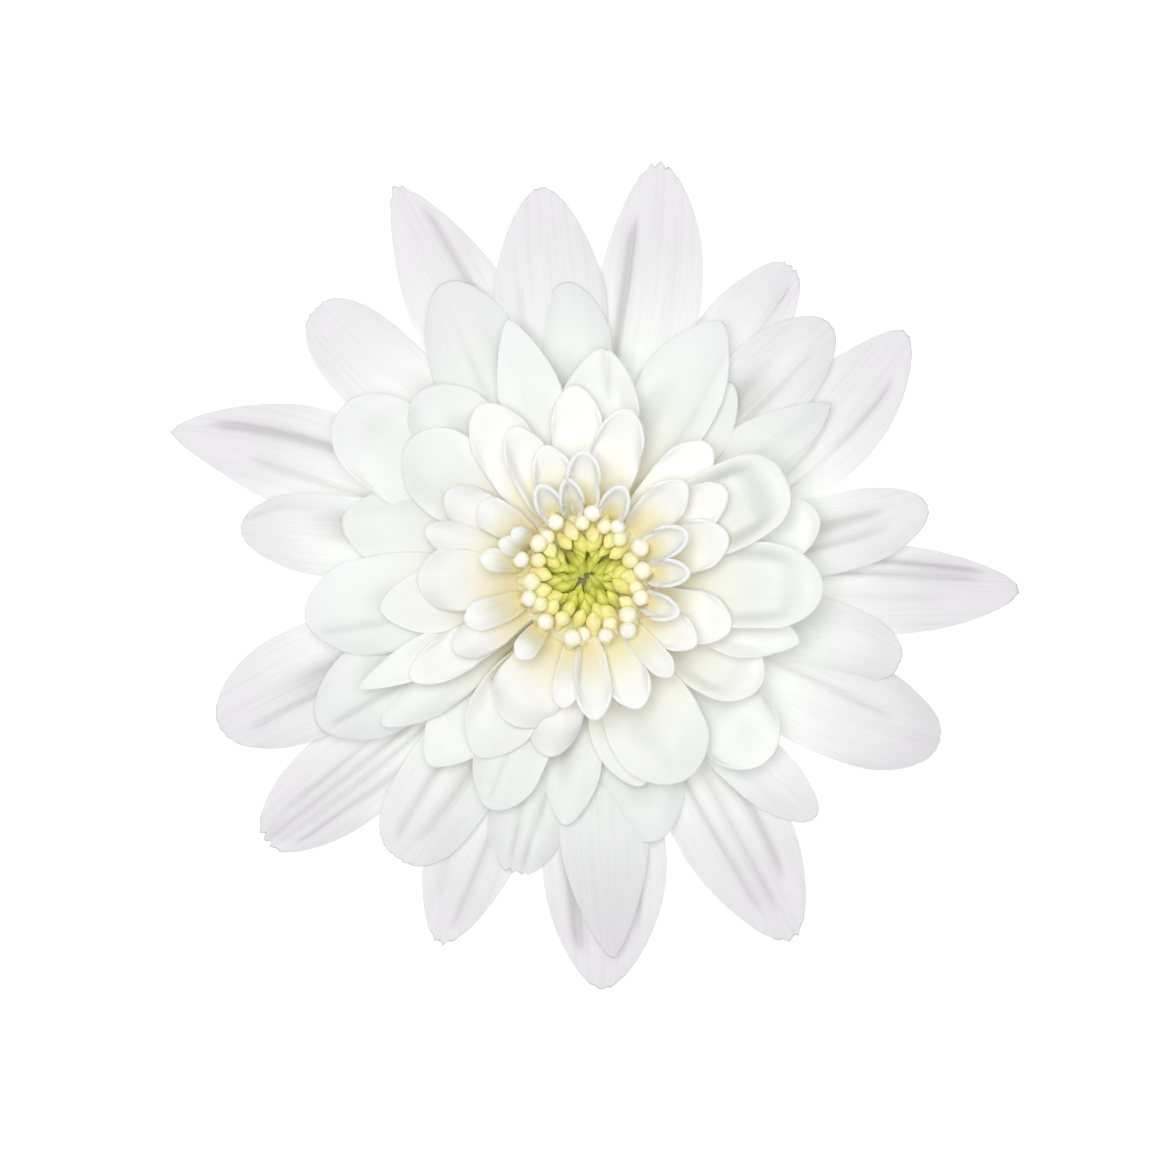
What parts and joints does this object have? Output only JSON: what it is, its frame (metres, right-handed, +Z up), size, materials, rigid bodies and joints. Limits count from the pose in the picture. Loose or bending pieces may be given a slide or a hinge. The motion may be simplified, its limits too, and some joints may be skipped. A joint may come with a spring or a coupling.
{
  "type": "chrysanthemum flower head",
  "caption": "White decorative chrysanthemum head laid face up: layered ray florets round a cupped yellow-green disc, green bracts and a short cut stem.",
  "frame": {"origin": "under the middle of the head's plan outline, on the surface that the head lies on", "axes": "+Z up out of the flower's face, +X to the right and +Y to the top as the face is seen from above"},
  "size_m": [0.0852, 0.083, 0.0205],
  "materials": {
    "stem": "satin",
    "bracts": "satin",
    "disc_florets": "satin",
    "outer_florets": "satin",
    "middle_florets": "satin",
    "inner_florets": "satin"
  },
  "bodies": {
    "root": {"stem_and_receptacle": "stem", "bracts": "bracts", "disc_florets": "disc_florets", "outer_ray_floret_01": "outer_florets", "outer_ray_floret_02": "outer_florets", "outer_ray_floret_03": "outer_florets", "outer_ray_floret_04": "outer_florets", "outer_ray_floret_05": "outer_florets", "outer_ray_floret_06": "outer_florets", "outer_ray_floret_07": "outer_florets", "outer_ray_floret_08": "outer_florets", "outer_ray_floret_09": "outer_florets", "outer_ray_floret_10": "outer_florets", "outer_ray_floret_11": "outer_florets", "outer_ray_floret_12": "outer_florets", "outer_ray_floret_13": "outer_florets", "outer_ray_floret_14": "outer_florets", "outer_ray_floret_15": "outer_florets", "outer_ray_floret_16": "outer_florets", "outer_ray_floret_17": "outer_florets", "outer_ray_floret_18": "outer_florets", "outer_ray_floret_19": "outer_florets", "outer_ray_floret_20": "outer_florets", "outer_ray_floret_21": "outer_florets", "outer_ray_floret_22": "outer_florets", "middle_ray_floret_01": "middle_florets", "middle_ray_floret_02": "middle_florets", "middle_ray_floret_03": "middle_florets", "middle_ray_floret_04": "middle_florets", "middle_ray_floret_05": "middle_florets", "middle_ray_floret_06": "middle_florets", "middle_ray_floret_07": "middle_florets", "middle_ray_floret_08": "middle_florets", "middle_ray_floret_09": "middle_florets", "middle_ray_floret_10": "middle_florets", "middle_ray_floret_11": "middle_florets", "middle_ray_floret_12": "middle_florets", "middle_ray_floret_13": "middle_florets", "middle_ray_floret_14": "middle_florets", "middle_ray_floret_15": "middle_florets", "middle_ray_floret_16": "middle_florets", "middle_ray_floret_17": "middle_florets", "middle_ray_floret_18": "middle_florets", "middle_ray_floret_19": "middle_florets", "middle_ray_floret_20": "middle_florets", "middle_ray_floret_21": "middle_florets", "middle_ray_floret_22": "middle_florets", "middle_ray_floret_23": "middle_florets", "middle_ray_floret_24": "middle_florets", "middle_ray_floret_25": "middle_florets", "middle_ray_floret_26": "middle_florets", "middle_ray_floret_27": "middle_florets", "middle_ray_floret_28": "middle_florets", "middle_ray_floret_29": "middle_florets", "inner_ray_florets_1": "inner_florets", "inner_ray_florets_2": "inner_florets", "inner_ray_florets_3": "inner_florets", "inner_ray_florets_4": "inner_florets", "inner_ray_florets_5": "inner_florets", "inner_ray_florets_6": "inner_florets"}
  },
  "joints": []
}
